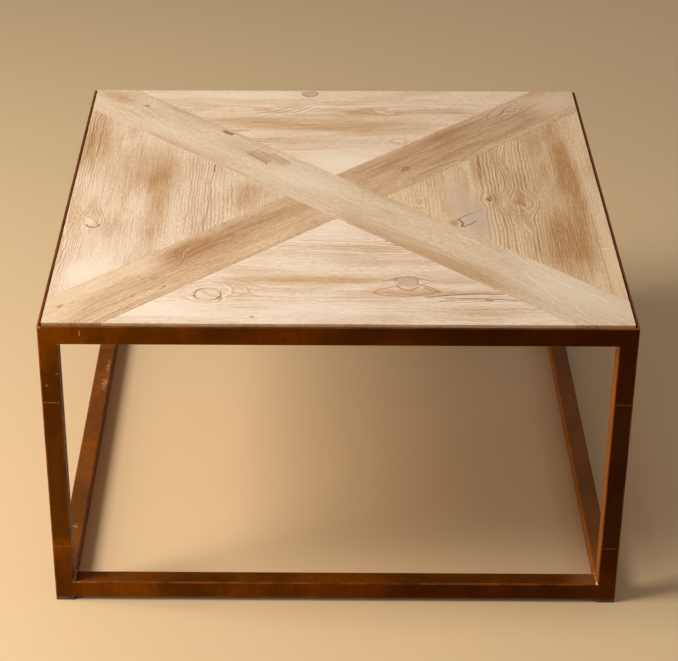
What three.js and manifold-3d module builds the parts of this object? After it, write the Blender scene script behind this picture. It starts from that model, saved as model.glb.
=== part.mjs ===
// Square low table. A flat top of reclaimed boards, with two wide boards crossing from corner to corner and
// four triangular panels between them, drops into a welded cube frame: steel angle round the top, square
// tube for the legs and the base, and a plastic cap in the foot of each leg.
// Millimetres, +Z up. The origin is on the floor, under the middle of the table; the front faces -Y.

import * as THREE from 'three';
import { mergeVertices } from 'three/addons/utils/BufferGeometryUtils.js';
import Module from 'manifold-3d';

const wasm = await Module();
wasm.setup();

// Driving dimensions of the table.
const TABLE_SIDE = 750;
const TABLE_HEIGHT = 425;
const BOARDS_PROUD = 3;

// Square steel tube of the legs and the base.
const TUBE_SIDE = 25;
const TUBE_WALL = 2;
const TUBE_CORNER_RADIUS = 2;

// Steel angle of the top frame.
const ANGLE_LEG = 25;
const ANGLE_THICKNESS = 3;
const ANGLE_ROOT_RADIUS = 2;
const ANGLE_EDGE_RADIUS = 1;

// Plastic cap in the foot of each leg.
const CAP_FLANGE = 5;
const CAP_INSET = 0.2;
const CAP_EDGE_RADIUS = 0.9;
const CAP_PLUG_HEIGHT = 16;
const CAP_PLUG_WALL = 1.8;
const CAP_FIN_COUNT = 3;
const CAP_FIN_HEIGHT = 1.2;
const CAP_FIN_REACH = 1;

// Wooden top.
const PLYWOOD_THICKNESS = 9;
const TOP_CLEARANCE = 2.25;
const DIAGONAL_WIDTH = 97;
const LONG_DIAGONAL_OFFSET = -4;
const HALF_DIAGONAL_OFFSET = 4;

// Pan-head wood screws that hold the top down, from below.
const SCREWS_PER_SIDE = 2;
const SCREW_SPACING = 380;
const SCREW_LENGTH = 11;
const SCREW_RADIUS = 2;
const SCREW_HEAD_RADIUS = 4;
const SCREW_HEAD_HEIGHT = 2.4;
const SCREW_HEAD_DOME = [[0, 1], [0.55, 0.94], [0.88, 0.7], [1, 0.3]]; // shares of its radius and height
const SCREW_RECESS_LENGTH = 3.8;
const SCREW_RECESS_WIDTH = 0.9;
const SCREW_RECESS_DEPTH = 1.5;
const SCREW_TIP_HEIGHT = 3;
const SCREW_INSET = 14.5;
const HOLE_CLEARANCE = 0.4;

// Space left between pieces: the root of a weld, a glue line, or a resting face.
const GAP = 0.3;

// How far a cutter runs past the face it opens.
const CUTTER_OVERSHOOT = 1;

// Resolution of round shapes.
const CORNER_SEGMENTS = 4;
const ROUND_SEGMENTS = 20;

// Places that follow from the driving dimensions.
const HALF_SIDE = TABLE_SIDE / 2;
const RIM_TOP = TABLE_HEIGHT - BOARDS_PROUD;
const ANGLE_UNDERSIDE = RIM_TOP - ANGLE_LEG;
const LEG_LENGTH = ANGLE_UNDERSIDE - GAP - CAP_FLANGE;
const LEG_CENTRE = HALF_SIDE - TUBE_SIDE / 2;
const BASE_RAIL_LENGTH = TABLE_SIDE - 2 * (TUBE_SIDE + GAP);
const WOOD_HALF = HALF_SIDE - ANGLE_THICKNESS - TOP_CLEARANCE;
const PLYWOOD_UNDERSIDE = ANGLE_UNDERSIDE + ANGLE_THICKNESS + GAP;
const BOARD_UNDERSIDE = PLYWOOD_UNDERSIDE + PLYWOOD_THICKNESS + GAP;

const QUARTER_TURN = Math.PI / 2;
const SIDES = ['front', 'right', 'back', 'left'];
const CORNERS = ['front_left', 'front_right', 'back_right', 'back_left'];

const rustySteel = { color: 0x6b300a, roughness: 0.42, metalness: 0.35 };
const blackPlastic = { color: 0x453a36, roughness: 0.55, metalness: 0 };
const palePine = { color: 0xdcbd94, roughness: 0.7, metalness: 0 };
const brownBoard = { color: 0xc29e74, roughness: 0.7, metalness: 0 };
const birchPlywood = { color: 0xc9a679, roughness: 0.75, metalness: 0 };
const zincPlate = { color: 0xa7a49b, roughness: 0.4, metalness: 0.9 };

const table = new THREE.Group();

// Adds one named piece to a group, with a material of its own.
function addPiece(group, name, geometry, finish) {
  const mesh = new THREE.Mesh(geometry, new THREE.MeshStandardMaterial(finish));
  mesh.name = name;
  group.add(mesh);
  return mesh;
}

// A closed geometry as a solid that can be joined to others and cut by them.
function toSolid(geometry) {
  const bare = geometry.clone();
  bare.deleteAttribute('normal');
  bare.deleteAttribute('uv');
  const merged = mergeVertices(bare);
  const corners = merged.index.array;
  const triVerts = [];
  for (let i = 0; i < corners.length; i += 3) {
    const [a, b, c] = corners.slice(i, i + 3);
    if (a !== b && b !== c && c !== a) triVerts.push(a, b, c);
  }
  return new wasm.Manifold(new wasm.Mesh({
    numProp: 3,
    vertProperties: new Float32Array(merged.attributes.position.array),
    triVerts: new Uint32Array(triVerts),
  }));
}

// A solid back as a geometry.
function toGeometry(solid) {
  const { vertProperties, triVerts } = solid.getMesh();
  const geometry = new THREE.BufferGeometry();
  geometry.setAttribute('position', new THREE.BufferAttribute(vertProperties, 3));
  geometry.setIndex(new THREE.BufferAttribute(triVerts, 1));
  geometry.computeVertexNormals();
  return geometry;
}

// A square outline about the origin, with round corners.
function roundedSquare(side, radius) {
  const reach = side / 2;
  const inner = reach - radius;
  const outline = new THREE.Shape();
  outline.moveTo(reach, inner);
  outline.absarc(inner, inner, radius, 0, QUARTER_TURN);
  outline.absarc(-inner, inner, radius, QUARTER_TURN, 2 * QUARTER_TURN);
  outline.absarc(-inner, -inner, radius, 2 * QUARTER_TURN, 3 * QUARTER_TURN);
  outline.absarc(inner, -inner, radius, 3 * QUARTER_TURN, 4 * QUARTER_TURN);
  return outline;
}

// A straight prism of an outline, standing on the XY plane.
function prism(outline, height) {
  const options = { depth: height, bevelEnabled: false, curveSegments: CORNER_SEGMENTS };
  return new THREE.ExtrudeGeometry(outline, options);
}

// A plain square block between two heights.
function block(side, low, high) {
  return new THREE.BoxGeometry(side, side, high - low).translate(0, 0, (low + high) / 2);
}

// A length of square tube, open at both ends, standing on the XY plane.
function tubeGeometry(length) {
  const outline = roundedSquare(TUBE_SIDE, TUBE_CORNER_RADIUS);
  outline.holes.push(roundedSquare(TUBE_SIDE - 2 * TUBE_WALL, TUBE_CORNER_RADIUS / 2));
  return prism(outline, length);
}

// The angle's section: the wall stands on the outside, and the flange points in under the wood.
function angleSection() {
  const edge = ANGLE_EDGE_RADIUS;
  const root = ANGLE_ROOT_RADIUS;
  const wall = ANGLE_THICKNESS;
  const section = new THREE.Shape();
  section.moveTo(edge, 0);
  section.lineTo(ANGLE_LEG, 0);
  section.lineTo(ANGLE_LEG, wall - edge);
  section.absarc(ANGLE_LEG - edge, wall - edge, edge, 0, QUARTER_TURN);
  section.lineTo(wall + root, wall);
  section.absarc(wall + root, wall + root, root, 3 * QUARTER_TURN, 2 * QUARTER_TURN, true);
  section.lineTo(wall, ANGLE_LEG - edge);
  section.absarc(wall - edge, ANGLE_LEG - edge, edge, 0, QUARTER_TURN);
  section.lineTo(edge, ANGLE_LEG);
  section.absarc(edge, ANGLE_LEG - edge, edge, QUARTER_TURN, 2 * QUARTER_TURN);
  section.lineTo(0, edge);
  section.absarc(edge, edge, edge, 2 * QUARTER_TURN, 3 * QUARTER_TURN);
  return section;
}

// The places of the screws along one side.
function screwPlaces() {
  const first = -SCREW_SPACING * (SCREWS_PER_SIDE - 1) / 2;
  return Array.from({ length: SCREWS_PER_SIDE }, (_, i) => first + i * SCREW_SPACING);
}

// A round cutter that stands upright between two heights.
function roundCutter(radius, low, high, x, y) {
  const cutter = new THREE.CylinderGeometry(radius, radius, high - low, ROUND_SEGMENTS);
  return toSolid(cutter.rotateX(QUARTER_TURN).translate(x, y, (low + high) / 2));
}

// The front rail of the top frame: an angle with both ends mitred, and clearance holes in its flange.
// It starts as a short stub, and mitring moves the ends of the stub out to the corners.
function topRailGeometry() {
  const stubHalf = 1;
  const angle = prism(angleSection(), 2 * stubHalf);
  const along = new THREE.Vector3(1, 0, 0);
  const inward = new THREE.Vector3(0, 1, 0);
  const up = new THREE.Vector3(0, 0, 1);
  angle.translate(0, 0, -stubHalf);
  angle.applyMatrix4(new THREE.Matrix4().makeBasis(inward, up, along));
  const position = angle.attributes.position;
  const mitreGap = GAP * Math.SQRT1_2;
  for (let i = 0; i < position.count; i += 1) {
    const mitredHalf = HALF_SIDE - mitreGap - position.getY(i);
    position.setX(i, Math.sign(position.getX(i)) * mitredHalf);
  }
  angle.translate(0, -HALF_SIDE, ANGLE_UNDERSIDE);
  let rail = toSolid(angle);
  const low = ANGLE_UNDERSIDE - CUTTER_OVERSHOOT;
  const high = ANGLE_UNDERSIDE + ANGLE_THICKNESS + CUTTER_OVERSHOOT;
  for (const x of screwPlaces()) {
    const hole = roundCutter(SCREW_RADIUS + HOLE_CLEARANCE, low, high, x, SCREW_INSET - HALF_SIDE);
    rail = rail.subtract(hole);
  }
  return toGeometry(rail);
}

// A rail of the base: tube that butts between two legs, with its underside level with their ends.
function baseRailGeometry() {
  const rail = tubeGeometry(BASE_RAIL_LENGTH).translate(0, 0, -BASE_RAIL_LENGTH / 2);
  return rail.rotateY(QUARTER_TURN).translate(0, -LEG_CENTRE, CAP_FLANGE + TUBE_SIDE / 2);
}

// A cap: a soft-edged flange under the leg, and a hollow finned plug inside it.
function capGeometry() {
  const soft = CAP_EDGE_RADIUS;
  const footprint = roundedSquare(TUBE_SIDE - 2 * CAP_INSET, TUBE_CORNER_RADIUS);
  const flange = new THREE.ExtrudeGeometry(footprint, {
    depth: CAP_FLANGE - GAP - 2 * soft,
    bevelThickness: soft,
    bevelSize: soft,
    bevelOffset: -soft,
    bevelSegments: 2,
    curveSegments: CORNER_SEGMENTS,
  });
  const finSide = TUBE_SIDE - 2 * (TUBE_WALL + GAP);
  const plugSide = finSide - 2 * CAP_FIN_REACH;
  const plugTop = CAP_FLANGE + CAP_PLUG_HEIGHT;
  const finPitch = (CAP_PLUG_HEIGHT - CAP_FIN_HEIGHT) / CAP_FIN_COUNT;
  let cap = toSolid(flange.translate(0, 0, soft));
  cap = cap.add(toSolid(block(plugSide, CAP_FLANGE / 2, plugTop)));
  for (let i = 1; i <= CAP_FIN_COUNT; i += 1) {
    const low = CAP_FLANGE + i * finPitch - CAP_FIN_HEIGHT;
    cap = cap.add(toSolid(block(finSide, low, low + CAP_FIN_HEIGHT)));
  }
  const hollow = block(plugSide - 2 * CAP_PLUG_WALL, CAP_FLANGE, plugTop + CUTTER_OVERSHOOT);
  return toGeometry(cap.subtract(toSolid(hollow)));
}

// A screw that points up, with the underside of its head on the XY plane and a cross recess in the head.
function screwGeometry() {
  const dome = SCREW_HEAD_DOME.map(([out, up]) => (
    new THREE.Vector2(out * SCREW_HEAD_RADIUS, -up * SCREW_HEAD_HEIGHT)
  ));
  const profile = [
    ...dome,
    new THREE.Vector2(SCREW_HEAD_RADIUS, -GAP),
    new THREE.Vector2(SCREW_RADIUS, -GAP),
    new THREE.Vector2(SCREW_RADIUS, SCREW_LENGTH - SCREW_TIP_HEIGHT),
    new THREE.Vector2(0, SCREW_LENGTH),
  ];
  const body = new THREE.LatheGeometry(profile, ROUND_SEGMENTS).rotateX(QUARTER_TURN);
  let screw = toSolid(body);
  for (const turn of [0, QUARTER_TURN]) {
    const slot = new THREE.BoxGeometry(SCREW_RECESS_LENGTH, SCREW_RECESS_WIDTH, 2 * SCREW_RECESS_DEPTH);
    screw = screw.subtract(toSolid(slot.rotateZ(turn).translate(0, 0, -SCREW_HEAD_HEIGHT)));
  }
  return toGeometry(screw);
}

// The part of an outline on one side of a straight line: where a*x + b*y is at most the limit.
function clipOutline(points, [a, b, limit]) {
  const kept = [];
  points.forEach((point, i) => {
    const next = points[(i + 1) % points.length];
    const here = limit - a * point.x - b * point.y;
    const there = limit - a * next.x - b * next.y;
    if (here >= 0) kept.push(point);
    if (here * there < 0) kept.push(point.clone().lerp(next, here / (here - there)));
  });
  return kept;
}

// A board of the top: the square of the whole top, cut to one side of each of the lines.
function boardGeometry(lines) {
  const square = [[-1, -1], [1, -1], [1, 1], [-1, 1]];
  const corners = square.map(([x, y]) => new THREE.Vector2(x * WOOD_HALF, y * WOOD_HALF));
  const outline = new THREE.Shape(lines.reduce(clipOutline, corners));
  return prism(outline, TABLE_HEIGHT - BOARD_UNDERSIDE).translate(0, 0, BOARD_UNDERSIDE);
}

// The line along one edge of a diagonal, moved out by a share of the glue line. The long diagonal runs
// from back left to front right, across the direction (1, 1); the halves lie across (1, -1).
function edgeLine(acrossY, offset, side, outward) {
  const reach = side * offset + DIAGONAL_WIDTH / 2 + outward;
  return [side * Math.SQRT1_2, side * acrossY * Math.SQRT1_2, reach];
}

// The other side of a line.
function beyond([a, b, limit]) {
  return [-a, -b, -limit];
}

// Both long edges of a diagonal.
function diagonalEdges(acrossY, offset, outward) {
  return {
    low: edgeLine(acrossY, offset, -1, outward),
    high: edgeLine(acrossY, offset, 1, outward),
  };
}

// What lies beyond a diagonal on either side.
function neighbours(acrossY, offset) {
  const edges = diagonalEdges(acrossY, offset, GAP);
  return { low: beyond(edges.low), high: beyond(edges.high) };
}

const onLong = diagonalEdges(1, LONG_DIAGONAL_OFFSET, 0);
const onHalf = diagonalEdges(-1, HALF_DIAGONAL_OFFSET, 0);
const pastLong = neighbours(1, LONG_DIAGONAL_OFFSET);
const pastHalf = neighbours(-1, HALF_DIAGONAL_OFFSET);

const DIAGONAL_BOARDS = {
  long_diagonal_board: [onLong.low, onLong.high],
  half_diagonal_board_front_left: [onHalf.low, onHalf.high, pastLong.low],
  half_diagonal_board_back_right: [onHalf.low, onHalf.high, pastLong.high],
};

const PANELS = {
  panel_front: [pastLong.low, pastHalf.high],
  panel_right: [pastLong.high, pastHalf.high],
  panel_back: [pastLong.high, pastHalf.low],
  panel_left: [pastLong.low, pastHalf.low],
};

// The plywood under the boards, with a blind pilot hole for each screw.
function plywoodGeometry() {
  const sheet = new THREE.BoxGeometry(2 * WOOD_HALF, 2 * WOOD_HALF, PLYWOOD_THICKNESS);
  let plywood = toSolid(sheet.translate(0, 0, PLYWOOD_UNDERSIDE + PLYWOOD_THICKNESS / 2));
  const low = PLYWOOD_UNDERSIDE - CUTTER_OVERSHOOT;
  const high = ANGLE_UNDERSIDE + SCREW_LENGTH + GAP;
  for (const side of SIDES.keys()) {
    for (const x of screwPlaces()) {
      const centre = new THREE.Vector2(x, SCREW_INSET - HALF_SIDE);
      centre.rotateAround(new THREE.Vector2(), side * QUARTER_TURN);
      const hole = roundCutter(SCREW_RADIUS + HOLE_CLEARANCE, low, high, centre.x, centre.y);
      plywood = plywood.subtract(hole);
    }
  }
  return toGeometry(plywood);
}

// The frame and its screws: each side is the front one, turned about the middle of the table.
SIDES.forEach((side, i) => {
  const turned = new THREE.Group();
  turned.rotation.z = i * QUARTER_TURN;
  addPiece(turned, `top_rail_${side}`, topRailGeometry(), rustySteel);
  addPiece(turned, `base_rail_${side}`, baseRailGeometry(), rustySteel);
  screwPlaces().forEach((x, n) => {
    const screw = addPiece(turned, `screw_${side}_${n + 1}`, screwGeometry(), zincPlate);
    screw.position.set(x, SCREW_INSET - HALF_SIDE, ANGLE_UNDERSIDE);
  });
  table.add(turned);
});

// The legs with their caps.
CORNERS.forEach((corner, i) => {
  const place = new THREE.Vector2(-LEG_CENTRE, -LEG_CENTRE);
  place.rotateAround(new THREE.Vector2(), i * QUARTER_TURN);
  const foot = new THREE.Group();
  foot.position.set(place.x, place.y, 0);
  addPiece(foot, `leg_${corner}`, tubeGeometry(LEG_LENGTH), rustySteel).position.z = CAP_FLANGE;
  addPiece(foot, `foot_cap_${corner}`, capGeometry(), blackPlastic);
  table.add(foot);
});

// The wooden top.
addPiece(table, 'plywood_backing', plywoodGeometry(), birchPlywood);
for (const [name, lines] of Object.entries(DIAGONAL_BOARDS)) {
  addPiece(table, name, boardGeometry(lines), brownBoard);
}
for (const [name, lines] of Object.entries(PANELS)) {
  addPiece(table, name, boardGeometry(lines), palePine);
}

export default table;
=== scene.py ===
import math
import random

import bmesh
import bpy
from mathutils import Matrix, Vector


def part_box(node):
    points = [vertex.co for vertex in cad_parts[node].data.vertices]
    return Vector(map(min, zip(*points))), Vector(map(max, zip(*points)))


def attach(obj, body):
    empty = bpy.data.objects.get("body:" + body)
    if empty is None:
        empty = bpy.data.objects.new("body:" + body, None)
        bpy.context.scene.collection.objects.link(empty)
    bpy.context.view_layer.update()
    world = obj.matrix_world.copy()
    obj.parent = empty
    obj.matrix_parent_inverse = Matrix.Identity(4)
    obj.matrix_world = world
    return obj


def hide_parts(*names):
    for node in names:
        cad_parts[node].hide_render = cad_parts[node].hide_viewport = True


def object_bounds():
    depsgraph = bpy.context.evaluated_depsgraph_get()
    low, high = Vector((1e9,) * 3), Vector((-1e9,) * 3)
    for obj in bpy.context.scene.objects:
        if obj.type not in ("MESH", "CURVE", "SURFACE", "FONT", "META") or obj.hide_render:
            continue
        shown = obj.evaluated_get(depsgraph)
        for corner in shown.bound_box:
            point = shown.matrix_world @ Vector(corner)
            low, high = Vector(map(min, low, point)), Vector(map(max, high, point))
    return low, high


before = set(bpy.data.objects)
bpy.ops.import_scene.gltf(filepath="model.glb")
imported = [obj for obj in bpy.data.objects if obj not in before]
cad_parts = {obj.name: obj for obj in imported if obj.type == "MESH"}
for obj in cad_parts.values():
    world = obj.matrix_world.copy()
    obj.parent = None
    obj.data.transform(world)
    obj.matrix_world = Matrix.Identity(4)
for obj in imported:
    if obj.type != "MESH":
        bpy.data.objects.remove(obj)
cad_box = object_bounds()


# The view: the table stands square to the camera, seen from standing height. The camera is set by its
# place and by how far it is turned and tipped.
CAMERA_PLACE = (-0.0273, -2.5553, 1.6607)
CAMERA_TURN = math.radians(0.52)
CAMERA_TIP = math.radians(29.67)
SENSOR_WIDTH = 36
LENS = 107.3
SIDE_SHIFT = 0.0575

view = bpy.data.cameras.new("view")
view.sensor_width = SENSOR_WIDTH
view.lens = LENS
view.shift_x = SIDE_SHIFT
camera = bpy.data.objects.new("camera", view)
aim = Matrix.Rotation(CAMERA_TURN, 4, "Z") @ Matrix.Rotation(math.pi / 2 - CAMERA_TIP, 4, "X")
camera.matrix_world = Matrix.Translation(CAMERA_PLACE) @ aim
bpy.context.scene.collection.objects.link(camera)
bpy.context.scene.camera = camera
bpy.context.scene.view_settings.view_transform = "Standard"


# The stage: a plain warm floor under soft studio light. A softbox stands high at the left, a small one low
# at the left and a weak one to the right, and the room's own pale light fills the shadows.
FLOOR_SIZE = 12.0


def linear(hex_colour, alpha=1.0):
    """An sRGB hex colour, such as 'c8a070', as the linear colour that a shader wants."""
    levels = [int(hex_colour[i:i + 2], 16) / 255 for i in (0, 2, 4)]
    return [x / 12.92 if x <= 0.04045 else ((x + 0.055) / 1.055) ** 2.4 for x in levels] + [alpha]


def node(tree, kind, inputs=(), out=0, **settings):
    """Adds a node and gives one of its outputs. Each input is a value or another node's output."""
    made = tree.nodes.new("ShaderNode" + kind)
    for name, value in settings.items():
        setattr(made, name, value)
    for name, value in inputs.items() if isinstance(inputs, dict) else enumerate(inputs):
        if isinstance(value, bpy.types.NodeSocket):
            tree.links.new(value, made.inputs[name])
        elif value is not None:
            made.inputs[name].default_value = value
    return made.outputs[out]


def new_material(name):
    """A material with a Principled shader, as its node tree and that shader."""
    material = bpy.data.materials.new(name)
    material.use_nodes = True
    return material, material.node_tree, material.node_tree.nodes["Principled BSDF"]


def softbox(name, place, target, size, power, colour):
    """A square area light that faces a point."""
    light = bpy.data.lights.new(name, "AREA")
    light.size = size
    light.energy = power
    light.color = linear(colour)[:3]
    lamp = bpy.data.objects.new(name, light)
    toward = Vector(target) - Vector(place)
    lamp.matrix_world = Matrix.Translation(place) @ toward.to_track_quat("-Z", "Y").to_matrix().to_4x4()
    bpy.context.scene.collection.objects.link(lamp)


bpy.ops.mesh.primitive_plane_add(size=FLOOR_SIZE)
floor = bpy.context.object
floor.name = "floor"
floor_paint, tree, shader = new_material("pale_floor_paint")
shader.inputs["Base Color"].default_value = linear("dabd93")
shader.inputs["Roughness"].default_value = 0.7
floor.data.materials.append(floor_paint)

softbox("key_softbox", (-2.2, -0.6, 2.4), (0, 0, 0.3), 1.3, 100, "fff8ee")
softbox("low_softbox", (-1.9, -1.05, 0.7), (0.2, 0, 0.2), 0.7, 17, "fff8ee")
softbox("fill_softbox", (2.6, -0.6, 1.6), (0, 0, 0.3), 2.0, 6, "fff6ea")

room = bpy.data.worlds.new("room")
room.use_nodes = True
room.node_tree.nodes["Background"].inputs["Color"].default_value = linear("f6f1ea")
room.node_tree.nodes["Background"].inputs["Strength"].default_value = 0.25
bpy.context.scene.world = room


# The top frame: a ring of 25 x 25 x 3 mm steel angle, mitred, welded and ground flush at the corners. It is
# shaped whole and cut on its mitres, so that the corners run round without a step. The wood drops into it.
# All the steel has a rust-brown patina under satin lacquer, rubbed to a lighter copper brown on its edges.
ANGLE_THICKNESS = 0.003
STEEL_CORNER = 0.002
STEEL_ARRIS = 0.0009
TOUCH = 0.0003
SMOOTH_ANGLE = math.radians(35)
SHARP_ANGLE = math.radians(40)
FLAT_FACE = 0.985
MM = 1000

SIDES = ("front", "right", "back", "left")
CORNERS = ("front_left", "front_right", "back_right", "back_left")


def start_box(name, low, high):
    """A cube primitive taken to the box between two corners, with its place in its mesh."""
    bpy.ops.object.select_all(action="DESELECT")
    middle = (Vector(low) + Vector(high)) / 2
    bpy.ops.mesh.primitive_cube_add(size=1, location=middle)
    piece = bpy.context.object
    piece.name = name
    piece.data.name = name
    piece.scale = Vector(high) - Vector(low)
    bpy.ops.object.transform_apply(location=True, rotation=True, scale=True)
    return piece


def only(piece):
    """Makes a piece the only selected one, and the active one."""
    bpy.ops.object.select_all(action="DESELECT")
    piece.select_set(True)
    bpy.context.view_layer.objects.active = piece


def select_parts(piece, kind, test):
    """Opens a piece in edit mode with only the vertices, edges or faces that pass a test selected."""
    only(piece)
    bpy.ops.object.mode_set(mode="EDIT")
    bpy.ops.mesh.select_mode(type={"verts": "VERT", "edges": "EDGE", "faces": "FACE"}[kind])
    bpy.ops.mesh.select_all(action="DESELECT")
    shape = bmesh.from_edit_mesh(piece.data)
    for part in getattr(shape, kind):
        part.select_set(test(part))
    shape.select_flush_mode()
    bmesh.update_edit_mesh(piece.data)


def edge_along(axis):
    """A test for edges that run along an axis."""
    def test(edge):
        span = edge.verts[1].co - edge.verts[0].co
        return abs(span[axis]) > 0.999 * span.length
    return test


def round_edges(piece, test, radius, segments):
    """Rounds the edges that pass a test."""
    select_parts(piece, "edges", test)
    bpy.ops.mesh.bevel(offset=radius, offset_type="OFFSET", segments=segments, affect="EDGES")
    bpy.ops.object.mode_set(mode="OBJECT")


def modify(piece, kind, **settings):
    """Adds a modifier with its settings and applies it."""
    only(piece)
    modifier = piece.modifiers.new(kind.lower(), kind)
    for name, value in settings.items():
        setattr(modifier, name, value)
    bpy.ops.object.modifier_apply(modifier=modifier.name)


def carve(piece, low, high):
    """Cuts a box out of a piece."""
    cutter = start_box("cutter", low, high)
    modify(piece, "BOOLEAN", operation="DIFFERENCE", solver="EXACT", object=cutter)
    bpy.data.objects.remove(cutter)


def copy_piece(piece, name):
    """A copy of a piece with its own mesh."""
    only(piece)
    bpy.ops.object.duplicate()
    made = bpy.context.object
    made.name = name
    made.data.name = name
    return made


def cut_away(piece, point, normal):
    """Cuts a piece on a plane, closes the cut, and drops the side that the normal points to."""
    select_parts(piece, "faces", lambda face: True)
    bpy.ops.mesh.bisect(plane_co=point, plane_no=normal, use_fill=True, clear_outer=True)
    bpy.ops.object.mode_set(mode="OBJECT")


def smooth(piece):
    """Shades round stretches smooth, with the flats beside them kept flat."""
    only(piece)
    bpy.ops.object.shade_smooth_by_angle(angle=SMOOTH_ANGLE)
    modify(piece, "WEIGHTED_NORMAL", keep_sharp=True)


def table_place(tree):
    """A point's place in mm, from the middle of the table at the floor."""
    metres = node(tree, "TexCoord", out="Object")
    return node(tree, "VectorMath", (metres, (MM, MM, MM)), operation="MULTIPLY")


def noise(tree, place, size, detail=3.0, seed=0.0, out=0):
    """Noise from 0 to 1 in blotches of about these sizes in mm."""
    scaled = node(tree, "VectorMath", (place, [1 / s for s in size], (seed,) * 3), operation="MULTIPLY_ADD")
    return node(tree, "TexNoise", {"Vector": scaled, "Scale": 1.0, "Detail": detail}, out)


def fade(tree, value, start, end, low=0.0, high=1.0):
    """A soft change from low to high as a value goes from start to end."""
    return node(tree, "MapRange", (value, start, end, low, high), interpolation_type="SMOOTHERSTEP")


def math_node(tree, operation, *values):
    """The sum, product and so on of numbers."""
    return node(tree, "Math", values, operation=operation)


def mix(tree, amount, first, second, blend="MIX"):
    """One colour taken toward another."""
    return node(tree, "MixRGB", (amount, first, second), blend_type=blend)


def relief(tree, shader, height):
    """Raises and sinks a surface by a height in mm."""
    bump = node(tree, "Bump", {"Strength": 1.0, "Distance": 1 / MM, "Height": height})
    tree.links.new(bump, shader.inputs["Normal"])


def distance(tree, place, middle, reach):
    """How far a point is from a place, counted in the three half-lengths of the mark that lies there."""
    offset = [-m / r for m, r in zip(middle, reach)]
    scaled = node(tree, "VectorMath", (place, [1 / r for r in reach], offset), operation="MULTIPLY_ADD")
    return node(tree, "VectorMath", (scaled,), out="Value", operation="LENGTH")


def patches(tree, place, marks):
    """How strongly a point lies in soft-edged marks, each with its middle, half-lengths and strength."""
    total = None
    for middle, reach, strength in marks:
        one = fade(tree, distance(tree, place, middle, reach), 0, 1, strength, 0)
        total = one if total is None else math_node(tree, "ADD", total, one)
    return total


LINE_HEIGHTS = (88.4, 311.6)
SCUFF_AND_GLINT_TAN = "d9b48c"
# Pale scuffs and worn spots on the steel, in mm, with two painted highlights among them.
SCUFFS_AND_GLINTS = [
    ((-367, -375, 337), (4, 3, 3), 0.3),
    ((-353, -375, 354), (5, 3, 2), 0.25),
    ((-356, 136, 31), (8, 30, 3), 0.75),
    ((-355, 190, 31), (5, 34, 3), 0.6),
    ((-362, -246, 31), (7, 16, 3), 0.55),
    ((-363, -295, 31), (7, 16, 3), 0.45),
    ((-322, -376, 412), (0.9, 3, 15), 0.9),
    ((-322, -376, 400), (3, 3, 5), 0.9),
    # Painted highlight: the glint on the ring's rounded front left corner.
    ((-372, -376, 422), (6, 4, 4), 0.9),
    ((-31, -375, 6), (4, 4, 3), 0.9),
    ((-11, -375, 5), (3, 4, 2), 0.8),
    ((340, -375, 5), (6, 5, 2), 0.9),
    # Painted highlight: the sheen along the left end of the front base rail's top arris.
    ((-335, -375, 29), (24, 3, 2), 0.6),
]


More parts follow.
